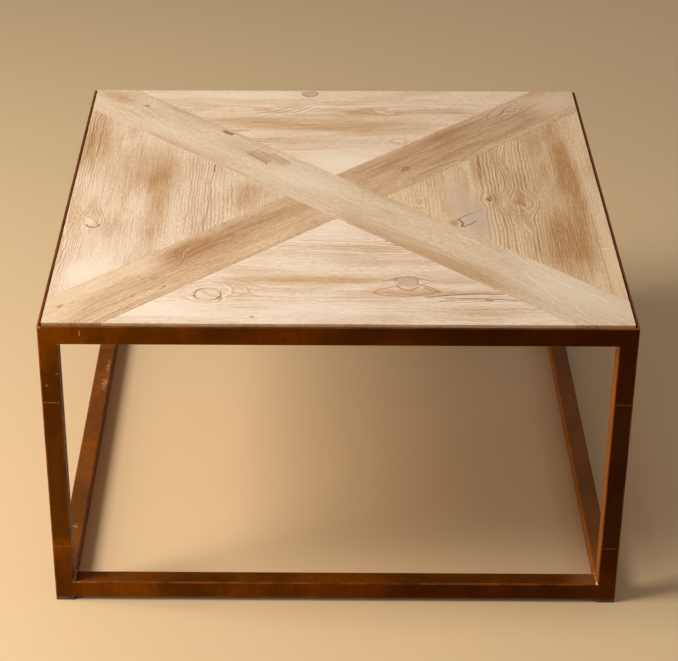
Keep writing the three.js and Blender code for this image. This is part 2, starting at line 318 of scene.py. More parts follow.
def patina(name, rubbed):
    """Rust-brown steel with painted shade and light. Rubbed is how far the patina is worn back."""
    material, tree, shader = new_material(name)
    place = table_place(tree)
    x, y, z = node(tree, "SeparateXYZ", (place,)).node.outputs[:3]
    clouds = noise(tree, place, (110, 110, 110), 4)
    runs = noise(tree, place, (7, 7, 90), 3, 4.0)
    mottle = noise(tree, place, (8, 8, 8), 6, 9.0)
    colour = mix(tree, fade(tree, clouds, 0.35, 0.65), linear("542a00"), linear("7c3e00"))
    colour = mix(tree, fade(tree, runs, 0.35, 0.8, 0, 0.35), colour, linear("4a2000"))
    colour = mix(tree, fade(tree, mottle, 0.4, 0.75, 0, 0.25), colour, linear("361a00"))

    # Painted shade darkens front faces toward the right. The patina is deeper between each leg's two lines.
    facing = node(tree, "SeparateXYZ", (node(tree, "TexCoord", out="Normal"),)).node.outputs
    front = fade(tree, facing["Y"], -0.6, -0.95, 0.15, 1)
    painted_front_shade = math_node(tree, "MULTIPLY", front, fade(tree, x, -420, 380, 0, 0.85))
    painted_front_shade = math_node(tree, "MULTIPLY", painted_front_shade, fade(tree, z, 20, 70, 0.72, 1))
    colour = mix(tree, painted_front_shade, colour, linear("260800"))
    middle = math_node(tree, "MULTIPLY", fade(tree, z, 88, 110), fade(tree, z, 280, 312, 1, 0))
    colour = mix(tree, math_node(tree, "MULTIPLY", middle, fade(tree, clouds, 0.4, 0.6, 0.1, 0.55)), colour,
                 linear("2e2008"))

    # Faces that look up are lighter toward the left and right ends, and darker between them.
    up = fade(tree, facing["Z"], 0.6, 0.95)
    up_ends_lighter = math_node(tree, "ADD", fade(tree, x, -340, -200, 0.12, 0), fade(tree, x, 290, 350, 0, 0.36))
    colour = mix(tree, math_node(tree, "MULTIPLY", up, up_ends_lighter), colour, linear("9a6c40"))
    inner = math_node(tree, "MULTIPLY", fade(tree, x, -340, -200), fade(tree, x, 280, 345, 1, 0))
    colour = mix(tree, math_node(tree, "MULTIPLY", math_node(tree, "MULTIPLY", up, inner), 0.35), colour,
                 linear("301800"))

    # Painted light: on the right-hand side, the faces turned toward the left are a brighter, warmer brown.
    facing_in = fade(tree, facing["X"], -0.5, -0.95)
    painted_light_inward = math_node(tree, "MULTIPLY", facing_in, fade(tree, x, 100, 300, 0, 0.5))
    colour = mix(tree, painted_light_inward, colour, linear("b0661c"))

    wobble = math_node(tree, "MULTIPLY_ADD", noise(tree, place, (6, 6, 6), 2, 2.0), 1.6, -0.8)
    broken = fade(tree, noise(tree, place, (3, 3, 3), 2, 5.0), 0.36, 0.52)
    for height in LINE_HEIGHTS:
        off = math_node(tree, "ADD", math_node(tree, "SUBTRACT", z, height), wobble)
        off = math_node(tree, "ABSOLUTE", off)
        line = math_node(tree, "MULTIPLY", fade(tree, off, 0.2, 1.1, 0.75, 0), broken)
        line = math_node(tree, "MULTIPLY", line, fade(tree, x, -200, 300, 1, 0.45))
        colour = mix(tree, line, colour, linear("b06c3c"))
    # Pale scuffs and the painted highlights listed with them.
    ragged = fade(tree, noise(tree, place, (5, 5, 5), 5, 7.0), 0.42, 0.62)
    scuffs_and_glints = math_node(tree, "MULTIPLY", patches(tree, place, SCUFFS_AND_GLINTS), ragged)
    colour = mix(tree, scuffs_and_glints, colour, linear(SCUFF_AND_GLINT_TAN))
    flecks = fade(tree, noise(tree, place, (2.5, 2.5, 2.5), 2, 11.0), 0.70, 0.78, 0, 0.35)
    colour = mix(tree, flecks, colour, linear("b07a4c"))
    if rubbed:
        thin = fade(tree, noise(tree, place, (26, 26, 26), 5, 13.0), 0.3, 0.7, 0.1 * rubbed, rubbed)
        colour = mix(tree, thin, colour, linear("84461c"))
    tree.links.new(colour, shader.inputs["Base Color"])
    tree.links.new(fade(tree, mottle, 0.3, 0.7, 0.40, 0.58), shader.inputs["Roughness"])
    shader.inputs["Specular IOR Level"].default_value = 0.16
    shader.inputs["Specular Tint"].default_value = linear("d07808")
    grit = noise(tree, place, (1.6, 1.6, 1.6), 3, 17.0)
    height = math_node(tree, "MULTIPLY_ADD", mottle, 0.07, math_node(tree, "MULTIPLY", grit, 0.02))
    relief(tree, shader, height)
    return material


# Mill-scale brown with clouds, runs, scuffs, painted shade and highlights; the same rubbed nearly bare for
# edges.
patina_steel = patina("rust_patina_steel", 0)
rubbed_steel = patina("rubbed_steel_edge", 0.8)


def finish_steel(piece):
    """The patina, with the rubbed finish on the narrow rounded edges."""
    smooth(piece)
    piece.data.materials.clear()
    piece.data.materials.append(patina_steel)
    piece.data.materials.append(rubbed_steel)
    for face in piece.data.polygons:
        face.material_index = int(max(abs(x) for x in face.normal) < FLAT_FACE)
    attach(piece, "root")


rail_low, rail_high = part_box("top_rail_front")
half_side = cad_box[1].x
flange = rail_high.z - rail_low.z
rim_top = rail_high.z
wood_underside = rail_low.z + ANGLE_THICKNESS

ring = start_box("ring", (-half_side, -half_side, rail_low.z), (half_side, half_side, rim_top))
round_edges(ring, edge_along(2), STEEL_CORNER, 4)
pocket = half_side - ANGLE_THICKNESS
mouth = half_side - flange
carve(ring, (-pocket, -pocket, wood_underside), (pocket, pocket, rim_top + 0.01))
carve(ring, (-mouth, -mouth, rail_low.z - 0.01), (mouth, mouth, rim_top + 0.01))
modify(ring, "BEVEL", width=STEEL_ARRIS, segments=3, limit_method="ANGLE", angle_limit=SHARP_ANGLE)

for i, side in enumerate(SIDES):
    rail = copy_piece(ring, f"angle_rail_{side}")
    turn = Matrix.Rotation(i * math.pi / 2, 3, "Z")
    for across in (1, -1):
        cut_away(rail, (0, 0, 0), turn @ Vector((across, 1, 0)))
    finish_steel(rail)
    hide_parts(f"top_rail_{side}")
bpy.data.objects.remove(ring)


# The legs: four lengths of 25 mm square steel tube. Each is welded under a corner of the angle ring and
# ground flush with it, and it runs down to its plastic foot.
TUBE_WALL = 0.002


def square_tube(name, low, high, axis):
    """Square tube between two corners of its box, open at both ends."""
    piece = start_box(name, low, high)
    round_edges(piece, edge_along(axis), STEEL_CORNER, 4)
    select_parts(piece, "faces", lambda face: abs(face.normal[axis]) > 0.9)
    bpy.ops.mesh.delete(type="FACE")
    bpy.ops.object.mode_set(mode="OBJECT")
    modify(piece, "SOLIDIFY", thickness=TUBE_WALL, offset=-1, use_even_offset=True)
    finish_steel(piece)
    return piece


for corner in CORNERS:
    low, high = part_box(f"leg_{corner}")
    high.z = rail_low.z + STEEL_ARRIS
    leg = square_tube(f"tube_leg_{corner}", low, high, 2)
    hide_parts(f"leg_{corner}")


# The base: four rails of the same tube, butted between the legs and welded, with their undersides level
# with the ends of the legs.
for i, side in enumerate(SIDES):
    low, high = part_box(f"base_rail_{side}")
    axis = i % 2
    low[axis] -= STEEL_CORNER + TOUCH
    high[axis] += STEEL_CORNER + TOUCH
    rail = square_tube(f"tube_rail_{side}", low, high, axis)
    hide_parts(f"base_rail_{side}")


# The welds: a thin crust of weld metal, left where each base rail meets a leg on its top and on its inner
# side, and in the inner corner under the ring. It is lumpy, pinkish tan and duller than the patina.
BEAD_STEP = 0.0021
BEAD_SIZES = (0.0012, 0.0025)
BEAD_WANDER = 0.0003
CRUST_CELL = 0.0006

dice = random.Random(11)
weld_crust, tree, shader = new_material("weld_crust")
place = table_place(tree)
lumps = noise(tree, place, (3, 3, 3), 4, 3.0)
tree.links.new(mix(tree, fade(tree, lumps, 0.35, 0.65), linear("6a3c1c"), linear("d8aa88")),
               shader.inputs["Base Color"])
tree.links.new(fade(tree, lumps, 0.3, 0.7, 0.5, 0.8), shader.inputs["Roughness"])
shader.inputs["Specular IOR Level"].default_value = 0.3
pits = noise(tree, place, (0.9, 0.9, 0.9), 3, 6.0)
relief(tree, shader, math_node(tree, "MULTIPLY", pits, 0.2))


def weld_bead(name, runs):
    """Small lumps along straight runs, melted into one crust."""
    bpy.ops.object.select_all(action="DESELECT")
    beads = []
    for start, end in runs:
        start, end = Vector(start), Vector(end)
        count = round((end - start).length / BEAD_STEP)
        for k in range(count + 1):
            size = dice.uniform(*BEAD_SIZES)
            wander = Vector([dice.uniform(-BEAD_WANDER, BEAD_WANDER) for _ in range(3)])
            bpy.ops.mesh.primitive_ico_sphere_add(subdivisions=2, radius=size,
                                                  location=start.lerp(end, k / count) + wander)
            beads.append(bpy.context.object)
    for bead in beads:
        bead.select_set(True)
    bpy.context.view_layer.objects.active = beads[0]
    bpy.ops.object.join()
    crust = bpy.context.object
    crust.name = name
    crust.data.name = name
    bpy.ops.object.transform_apply(location=True, rotation=True, scale=True)
    modify(crust, "REMESH", mode="VOXEL", voxel_size=CRUST_CELL, use_smooth_shade=True)
    crust.data.materials.clear()
    crust.data.materials.append(weld_crust)
    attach(crust, "root")


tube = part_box("leg_front_left")[1].x + half_side
base_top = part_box("base_rail_front")[1].z
base_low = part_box("base_rail_front")[0].z
for corner in CORNERS:
    sign_x = -1 if "left" in corner else 1
    sign_y = -1 if "front" in corner else 1
    inner_x = sign_x * (half_side - tube)
    inner_y = sign_y * (half_side - tube)
    outer_x = sign_x * (half_side - STEEL_CORNER)
    outer_y = sign_y * (half_side - STEEL_CORNER)
    runs = [
        ((inner_x, outer_y, base_top), (inner_x, inner_y, base_top)),
        ((inner_x, inner_y, base_top), (inner_x, inner_y, base_low + STEEL_CORNER)),
        ((outer_x, inner_y, base_top), (inner_x, inner_y, base_top)),
        ((inner_x, outer_y, rail_low.z), (inner_x, inner_y, rail_low.z)),
        ((outer_x, inner_y, rail_low.z), (inner_x, inner_y, rail_low.z)),
    ]
    weld_bead(f"weld_crust_{corner}", runs)


# The feet: a moulded plastic plug in the end of each leg. Its flange is the leg's own size and stands on
# the floor, and its hollow shank holds in the tube.
CAP_ROUND = 0.0015
SHANK_PLAY = 0.0004
SHANK_WALL = 0.0015
CAP_ARRIS = 0.0005
FLANGE_PLAY = 0.0002

foot_plastic, tree, shader = new_material("foot_plastic")
place = table_place(tree)
grain = noise(tree, place, (0.8, 0.8, 0.8), 3)
dust = fade(tree, noise(tree, place, (12, 12, 5), 4, 3.0), 0.4, 0.7, 0, 0.5)
tree.links.new(mix(tree, dust, linear("443a32"), linear("75695a")), shader.inputs["Base Color"])
tree.links.new(fade(tree, grain, 0.3, 0.7, 0.45, 0.62), shader.inputs["Roughness"])
shader.inputs["Specular IOR Level"].default_value = 0.4
relief(tree, shader, math_node(tree, "MULTIPLY", grain, 0.05))

for corner in CORNERS:
    low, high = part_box(f"foot_cap_{corner}")
    foot = start_box(f"foot_{corner}", low, (high.x, high.y, base_low - FLANGE_PLAY))
    round_edges(foot, edge_along(2), CAP_ROUND, 3)
    modify(foot, "BEVEL", width=CAP_ARRIS, segments=2, limit_method="ANGLE", angle_limit=SHARP_ANGLE)
    inset = Vector((TUBE_WALL + SHANK_PLAY, TUBE_WALL + SHANK_PLAY, 0))
    shank = start_box("shank", low + inset + Vector((0, 0, SHANK_WALL)), high - inset)
    carve(shank, low + inset + Vector((SHANK_WALL, SHANK_WALL, base_low)),
          high - inset + Vector((-SHANK_WALL, -SHANK_WALL, SHANK_WALL)))
    modify(foot, "BOOLEAN", operation="UNION", solver="EXACT", object=shank)
    bpy.data.objects.remove(shank)
    smooth(foot)
    foot.data.materials.append(foot_plastic)
    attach(foot, "root")
    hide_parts(f"foot_cap_{corner}")


# The backing: one sheet of 9 mm birch plywood, laid on the ring's inner ledge. The boards are glued to it.
# Its face shows wide rotary-cut figure, and its edges show the plies.
PLY = 1.5
SHEET_ARRIS = 0.0003

sheet_low, sheet_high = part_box("plywood_backing")

birch, tree, shader = new_material("birch_plywood")
place = table_place(tree)
x, y, z = node(tree, "SeparateXYZ", (place,)).node.outputs[:3]
sway = noise(tree, place, (420, 55, 200), 3, 5.0)
waves = math_node(tree, "MULTIPLY_ADD", sway, 9.0, math_node(tree, "DIVIDE", y, 95.0))
waves = math_node(tree, "FRACT", waves)
figure = math_node(tree, "MULTIPLY", fade(tree, waves, 0, 0.8), fade(tree, waves, 0.8, 1, 1, 0))
fibre = noise(tree, place, (30, 0.9, 2), 3, 8.0)
colour = mix(tree, fade(tree, noise(tree, place, (160, 60, 60), 3, 2.0), 0.3, 0.7), linear("d8b98c"),
             linear("c9a374"))
colour = mix(tree, math_node(tree, "MULTIPLY", figure, 0.45), colour, linear("b88d5c"))
colour = mix(tree, fade(tree, fibre, 0.5, 0.75, 0, 0.3), colour, linear("a87c4e"))
layer = math_node(tree, "PINGPONG", math_node(tree, "SUBTRACT", z, sheet_low.z * MM), PLY)
side_face = node(tree, "SeparateXYZ", (node(tree, "TexCoord", out="Normal"),), out="Z")
is_edge = fade(tree, math_node(tree, "ABSOLUTE", side_face), 0.5, 0.3)
plies = math_node(tree, "MULTIPLY", is_edge, fade(tree, layer, 0.6, 0.9, 0, 0.7))
colour = mix(tree, plies, colour, linear("7c5634"))
tree.links.new(colour, shader.inputs["Base Color"])
tree.links.new(fade(tree, fibre, 0.3, 0.7, 0.62, 0.8), shader.inputs["Roughness"])
shader.inputs["Specular IOR Level"].default_value = 0.3
relief(tree, shader, math_node(tree, "MULTIPLY", fibre, 0.08))

backing = start_box("plywood_sheet", sheet_low, sheet_high)
modify(backing, "BEVEL", width=SHEET_ARRIS, segments=1, limit_method="ANGLE", angle_limit=SHARP_ANGLE)
backing.data.materials.append(birch)
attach(backing, "root")
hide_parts("plywood_backing")


# The screws: eight zinc-plated pan-head screws, driven up through the ring's ledge into the plywood. Each
# has a cross recess, and is turned by its own amount.
HEAD_ROUND = 0.0011
RECESS_REACH = 0.0021
RECESS_HALF_WIDTH = 0.0004
RECESS_DEPTH = 0.0013
SHANK_RADIUS = 0.0019
SHANK_SINK = 0.0001
OVERSHOOT = 0.001

zinc, tree, shader = new_material("zinc_plated_steel")
place = table_place(tree)
film = noise(tree, place, (2, 2, 2), 4)
tree.links.new(mix(tree, fade(tree, film, 0.35, 0.7), linear("c3c4c2"), linear("8f8b80")),
               shader.inputs["Base Color"])
shader.inputs["Metallic"].default_value = 1.0
tree.links.new(fade(tree, film, 0.3, 0.7, 0.28, 0.5), shader.inputs["Roughness"])
relief(tree, shader, math_node(tree, "MULTIPLY", film, 0.06))

low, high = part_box("screw_front_1")
head_radius = (high.x - low.x) / 2
head_height = rail_low.z - low.z
middle = (low + high) / 2
bpy.ops.object.select_all(action="DESELECT")
bpy.ops.mesh.primitive_cylinder_add(vertices=32, radius=head_radius, depth=head_height,
                                    location=(middle.x, middle.y, low.z + head_height / 2))
screw = bpy.context.object
bpy.ops.object.transform_apply(location=True, rotation=True, scale=True)
round_edges(screw, lambda edge: all(v.co.z < low.z + 0.0001 for v in edge.verts), HEAD_ROUND, 4)
for long_x, long_y in ((RECESS_REACH, RECESS_HALF_WIDTH), (RECESS_HALF_WIDTH, RECESS_REACH)):
    carve(screw, (middle.x - long_x, middle.y - long_y, low.z - OVERSHOOT),
          (middle.x + long_x, middle.y + long_y, low.z + RECESS_DEPTH))
bpy.ops.object.select_all(action="DESELECT")
bpy.ops.mesh.primitive_cylinder_add(vertices=20, radius=SHANK_RADIUS, depth=high.z - rail_low.z,
                                    location=(middle.x, middle.y, (high.z + rail_low.z) / 2 - SHANK_SINK))
shank = bpy.context.object
bpy.ops.object.transform_apply(location=True, rotation=True, scale=True)
modify(screw, "BOOLEAN", operation="UNION", solver="EXACT", object=shank)
bpy.data.objects.remove(shank)
smooth(screw)
screw.data.materials.append(zinc)
for side in SIDES:
    for n in (1, 2):
        low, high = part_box(f"screw_{side}_{n}")
        made = copy_piece(screw, f"pan_head_screw_{side}_{n}")
        target = (low + high) / 2
        turn = Matrix.Rotation(dice.uniform(0, math.pi / 2), 4, "Z")
        made.data.transform(Matrix.Translation((target.x, target.y, 0)) @ turn
                            @ Matrix.Translation((-middle.x, -middle.y, 0)))
        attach(made, "root")
        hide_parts(f"screw_{side}_{n}")
bpy.data.objects.remove(screw)


# The long diagonal board: one light, sanded softwood board from the back left corner to the front right,
# cut square to the ring at its ends. All the boards are old, sanded and brushed, glued down edge to edge.
# Each gets its own finish, with its own rings, knots and stains laid out in mm on the table's plan.
wood_half = sheet_high.x
top_z = cad_box[1].z
board_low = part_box("long_diagonal_board")[0].z
front_low, front_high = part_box("panel_front")
back_low, back_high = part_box("panel_back")
SLOPE = math.sqrt(0.5)
JOINT = 0.00005
EASED_EDGE = 0.0002
DEEP = 80
WAVE = 5.0
RING_SHADE = "c9aa80"

# The two edges of each diagonal board, as a direction across it and how far the edge is from the middle.
LONG_LOW = (-SLOPE, -SLOPE, -(front_high.x - wood_half) * SLOPE)
LONG_HIGH = (SLOPE, SLOPE, (back_low.x + wood_half) * SLOPE)
HALF_LOW = (-SLOPE, SLOPE, (wood_half - back_high.x) * SLOPE)
HALF_HIGH = (SLOPE, -SLOPE, (front_low.x + wood_half) * SLOPE)

ALONG_X = 0.0
ALONG_Y = math.pi / 2
ALONG_LONG = -math.pi / 4
ALONG_HALF = math.pi / 4


def cut_board(name, lines, top):
    """A board cut from the whole square on its edge lines, with its arrises eased."""
    piece = start_box("wood_" + name, (-wood_half, -wood_half, board_low), (wood_half, wood_half, top))
    for (x, y, reach), side in lines:
        cut_away(piece, Vector((x, y, 0)) * (reach + side * JOINT), Vector((x, y, 0)) * (-side))
    modify(piece, "BEVEL", width=EASED_EDGE, segments=2, limit_method="ANGLE", angle_limit=SHARP_ANGLE)
    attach(piece, "root")
    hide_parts(name)
    return piece


def on_grain(grain, x, y):
    """A place on the plan, as far along the grain and far across it."""
    return (x * math.cos(grain) + y * math.sin(grain), y * math.cos(grain) - x * math.sin(grain), 0)


def strokes(tree, place, lines):
    """How strongly a point lies on thin lines, each with a half-width, a strength and its points."""
    total = None
    for width, strength, points in lines:
        nearest = None
        for start, end in zip(points, points[1:]):
            run = Vector(end) - Vector(start)
            unit = tuple(run / run.length_squared)
            offset = node(tree, "VectorMath", (place, start), operation="SUBTRACT")
            reached = node(tree, "VectorMath", (offset, unit), out="Value", operation="DOT_PRODUCT")
            reached = node(tree, "MapRange", (reached,))
            step = node(tree, "VectorMath", {"Vector": tuple(run), "Scale": reached}, operation="SCALE")
            away = node(tree, "VectorMath", (offset, step), out="Value", operation="DISTANCE")
            nearest = away if nearest is None else math_node(tree, "MINIMUM", nearest, away)
        one = fade(tree, nearest, 0.2 * width, width, strength, 0)
        total = one if total is None else math_node(tree, "MAXIMUM", total, one)
    return total


def plank(name, grain, seed, colours, rings, pores=0.0, knots=(), arches=(), stains=(), tints=(),
          veins=()):
    """An old softwood board's finish. Colours are the pale wood and the stained wood.
    Rings are the heart's place across the board and its depth, the ring width, the contrast, and how far
    the rings wander and ripple. Pores is how dark they are. Knots, arches, stains and tints are soft ovals
    on the plan in mm, and veins are thin lines. An arch adds rings, or with none brings out those there."""
    def marks(rows):
        return [(on_grain(grain, x, y), (along, across, DEEP), strength)
                for x, y, along, across, strength in rows]

    pale, stained, dark = [linear(colour) for colour in (*colours, RING_SHADE)]
    heart, depth, pitch, contrast, wander, ripple = rings
    material, tree, shader = new_material(name)
    turned = node(tree, "VectorRotate", {"Vector": table_place(tree), "Angle": -grain},
                  rotation_type="Z_AXIS")
    place = node(tree, "VectorMath", (turned, (0, 0, -top_z * MM)), operation="ADD")

    # The rings, bent by slow drift and quick ripple, pushed aside by knots and lifted by arches.
    drift = noise(tree, place, (280, 70, 70), 2, seed, out="Color")
    quick = noise(tree, place, (26, 9, 9), 3, seed + 3, out="Color")
    lines = node(tree, "VectorMath", (drift, (0, wander, wander), place), operation="MULTIPLY_ADD")
    lines = node(tree, "VectorMath", (quick, (8 * ripple, ripple, ripple), lines), operation="MULTIPLY_ADD")
    wave = noise(tree, place, (24, 50, 50), 1, seed + 4, out="Color")
    lines = node(tree, "VectorMath", (wave, (0, WAVE, 0), lines), operation="MULTIPLY_ADD")
    centred = (-4 * ripple, -(wander + ripple + WAVE) / 2, 0)
    lines = node(tree, "VectorMath", (lines, centred), operation="ADD")
    jagged = noise(tree, place, (16, 5, 5), 4, seed + 5, out="Color")
    jagged = node(tree, "VectorMath", (jagged, (12, 3, 0), place), operation="MULTIPLY_ADD")
    jagged = node(tree, "VectorMath", (jagged, (-6, -1.5, 0)), operation="ADD")
    x, y, z = node(tree, "SeparateXYZ", (lines,)).node.outputs[:3]
    patchy = noise(tree, place, (130, 24, 24), 3, seed + 7)
    bright = fade(tree, patchy, 0.3, 0.65, 0.3 * contrast, contrast)
    knot_distances = []
    for kx, ky, along, across, fill, outline, clear in knots:
        middle = on_grain(grain, kx, ky)
        away = distance(tree, place, middle, (along, across, DEEP))
        rough = math_node(tree, "MULTIPLY_ADD", noise(tree, place, (5, 5, 5), 2, kx), 0.3, away)
        knot_distances.append(math_node(tree, "SUBTRACT", rough, 0.15))
        bright = math_node(tree, "ADD", fade(tree, away, 1, 3.2, 0.5, 0), bright)
        squeeze = fade(tree, away, 0.3, 3.2, 0.08, 1)
        y = math_node(tree, "MULTIPLY_ADD", math_node(tree, "SUBTRACT", y, middle[1]), squeeze, middle[1])
    from_heart = math_node(tree, "SUBTRACT", y, heart)
    ring_place = node(tree, "CombineXYZ", (0.0, from_heart, math_node(tree, "ADD", z, depth)))
    turns = node(tree, "VectorMath", (ring_place,), out="Value", operation="LENGTH")
    phase = math_node(tree, "DIVIDE", turns, pitch)
    for middle, reach, extra in marks(arches):
        inside = node(tree, "MapRange", (distance(tree, lines, middle, reach), 0, 1, 1, 0))
        phase = math_node(tree, "MULTIPLY_ADD", inside, extra, phase)
        bright = math_node(tree, "ADD", fade(tree, inside, 0, 0.3, 0, 0.5), bright)
    part = math_node(tree, "FRACT", phase)
    ring = math_node(tree, "MULTIPLY", fade(tree, part, 0.15, 0.75), fade(tree, part, 0.82, 1, 1, 0))
    whim = node(tree, "TexWhiteNoise", {"W": math_node(tree, "FLOOR", phase)}, noise_dimensions="1D")
    ring = math_node(tree, "MULTIPLY", ring, fade(tree, whim, 0, 1, 0.35, 1))
    bright = math_node(tree, "MINIMUM", bright, 2 * contrast)
    ring = math_node(tree, "MULTIPLY", ring, bright)
    # Painted highlight: a pale band beside each dark ring, standing in for light caught on the ring's
    # relief.
    painted_ring_glint = math_node(tree, "MULTIPLY", fade(tree, part, 0, 0.1), fade(tree, part, 0.1, 0.35, 1, 0))
    painted_ring_glint = math_node(tree, "MULTIPLY", painted_ring_glint, bright)

    # The colour: stains in streaks along the grain, then rings, fibres, painted ring highlights, tints and
    # knots.
    streaks = noise(tree, place, (70, 3, 3), 5, seed + 9)
    blotches = noise(tree, place, (150, 34, 34), 3, seed + 11)
    tone = fade(tree, blotches, 0.4, 0.7, 0, 0.35)
    if stains:
        tone = math_node(tree, "ADD", tone, patches(tree, jagged, marks(stains)))
    tone = math_node(tree, "ADD", tone, fade(tree, streaks, 0.25, 0.75, -0.15, 0.15))
    tone = math_node(tree, "MINIMUM", math_node(tree, "MAXIMUM", tone, 0.0), 1.0)
    colour = mix(tree, tone, pale, stained)
    colour = mix(tree, ring, colour, dark, "MULTIPLY")
    fibre = noise(tree, place, (24, 1.1, 1.1), 3, seed + 13)
    grit = noise(tree, place, (9, 1.8, 1.8), 4, seed + 14)
    colour = mix(tree, fade(tree, fibre, 0.45, 0.8, 0, 0.35), colour, dark, "MULTIPLY")
    colour = mix(tree, fade(tree, grit, 0.4, 0.68, 0, 0.34), colour, dark, "MULTIPLY")
    if pores:
        open_pores = noise(tree, place, (13, 1.5, 1.5), 2, seed + 16)
        colour = mix(tree, fade(tree, open_pores, 0.56, 0.68, 0, pores), colour, linear("8a6040"))
    # Pale brushed streaks, with the painted ring highlights added in.
    brushed_and_glint = noise(tree, place, (60, 2.4, 2.4), 3, seed + 15)
    brushed_and_glint = math_node(tree, "MULTIPLY_ADD", painted_ring_glint, 0.4, fade(tree, brushed_and_glint, 0.5, 0.8, 0, 0.25))
    colour = mix(tree, brushed_and_glint, colour, linear("fff1e0"))
    for tint, rows in tints:
        covered = math_node(tree, "MINIMUM", patches(tree, jagged, marks(rows)), 1.0)
        colour = mix(tree, covered, colour, linear(tint))
    bent = node(tree, "VectorMath", (wave, (0, 3, 0), place), operation="MULTIPLY_ADD")
    bent = node(tree, "VectorMath", (bent, (0, -1.5, 0)), operation="ADD")
    bent = node(tree, "VectorMath", (bent, (1, 1, 0)), operation="MULTIPLY")
    for ink, rows in veins:
        turned_rows = [(width, strength, [on_grain(grain, px, py) for px, py in points])
                       for width, strength, points in rows]
        drawn = strokes(tree, bent, turned_rows)
        colour = mix(tree, drawn, colour, linear(ink))
        # Adds nothing, and makes the next group wait for this one, so the shader stays small enough to run.
        bent = node(tree, "VectorMath", (drawn, (0, 0, 0), bent), operation="MULTIPLY_ADD")
    for away, (kx, ky, along, across, fill, outline, clear) in zip(knot_distances, knots):
        growth = math_node(tree, "FRACT", math_node(tree, "MULTIPLY", away, along / 3))
        wood = mix(tree, fade(tree, growth, 0.5, 0.95, 0, 0.35), linear(fill), linear(outline))
        colour = mix(tree, fade(tree, away, 0.8, 1.0, 0.6 * clear, 0), colour, wood)
        edge = math_node(tree, "MULTIPLY", fade(tree, away, 0.88, 1.0), fade(tree, away, 1.0, 1.16, 1, 0))
        worn = noise(tree, place, (16, 16, 16), 1, ky)
        edge = math_node(tree, "MULTIPLY", edge, fade(tree, worn, 0.3, 0.65, 0.15 * clear, 0.9 * clear))
        colour = mix(tree, edge, colour, linear(outline))

    # Sides and sawn ends are darker, and the dark side of each ring stands a little proud.
    normal = node(tree, "VectorRotate", {"Vector": node(tree, "TexCoord", out="Normal"), "Angle": -grain},
                  rotation_type="Z_AXIS")
    toward = node(tree, "SeparateXYZ", (normal,)).node.outputs
    end = math_node(tree, "ABSOLUTE", toward["X"])
    colour = mix(tree, fade(tree, end, 0.5, 0.95, 0, 0.6), colour, linear("c99c78"), "MULTIPLY")
    colour = mix(tree, fade(tree, toward["Z"], 0.3, 0.8, 0.75, 0), colour, linear("f2d9b8"), "MULTIPLY")
    tree.links.new(colour, shader.inputs["Base Color"])
    tree.links.new(fade(tree, ring, 0, 0.6, 0.7, 0.52), shader.inputs["Roughness"])
    shader.inputs["Specular IOR Level"].default_value = 0.3
    height = math_node(tree, "MULTIPLY_ADD", ring, 0.3, math_node(tree, "MULTIPLY", fibre, 0.12))
    relief(tree, shader, height)
    return material


# Light beige, straight and fine in its grain. A pin knot lies in a swirl near the back left, a ragged brown
# knot short of the middle, and pale cathedral lines run out at the front right.
long_board = cut_board("long_diagonal_board", [(LONG_LOW, -1), (LONG_HIGH, -1)], top_z)
long_board.data.materials.append(plank(
    "light_diagonal_board", ALONG_LONG, 2.0, ("e6d0b4", "c5a074"), (190, 60, 3.6, 0.3, 26, 1.6), 0.12,
    knots=[(-287, 308, 4, 3, "7c6a5c", "6a5244", 1)],
    arches=[(-300, 300, 60, 30, 4), (20, -64, 12, 6, 2)],
    stains=[(-200, 262, 190, 24, 0.45), (60, 10, 180, 22, 0.35), (110, -180, 270, 56, 0.6),
        (190, -250, 150, 36, 0.35), (-330, 345, 60, 40, 0.4), (-240, 170, 120, 20, 0.3)],
    tints=[
        ("c9a57c", [(-140, 160, 60, 30, 0.4)]),
        ("eddcc4", [(-45, 40, 110, 44, 0.55), (300, -280, 150, 60, 0.5), (-240, 220, 90, 24, 0.3)]),
    ],
    veins=[
        ("b48f69", [
            (13, 0.55, [(-121, 137), (-108, 122), (-100, 108)]),
            (13, 0.55, [(-106, 132), (-90, 120), (-76, 103)]),
        ]),
        ("8c6540", [
            (2.0, 0.5, [(-129, 137), (-113, 120), (-101, 105), (-100, 97)]),
            (2.0, 0.5, [(-90, 133), (-77, 118), (-68, 105), (-66, 95)]),
            (1.4, 0.5, [(-116, 148), (-104, 136), (-97, 124)]),
            (6, 0.9, [(-164, 214), (-160, 209), (-154, 204)]),
            (1.0, 0.4, [(-62, 116), (-50, 103)]),
        ]),
        ("f6e6cc", [
            (1.5, 0.55, [(228, -168), (247, -203), (262, -224), (292, -264), (345, -310)]),
            (1.3, 0.45, [(250, -195), (285, -235), (330, -272)]),
            (1.5, 0.55, [(240, -225), (251, -250), (263, -272), (278, -302)]),
            (1.3, 0.5, [(294, -303), (298, -320), (312, -345)]),
            (1.2, 0.4, [(300, -313), (318, -332), (336, -352)]),
            (1.3, 0.6, [(163, -120), (170, -130), (182, -138), (190, -150)]),
            (1.3, 0.4, [(163, -124), (172, -146), (180, -160)]),
        ]),
    ]))


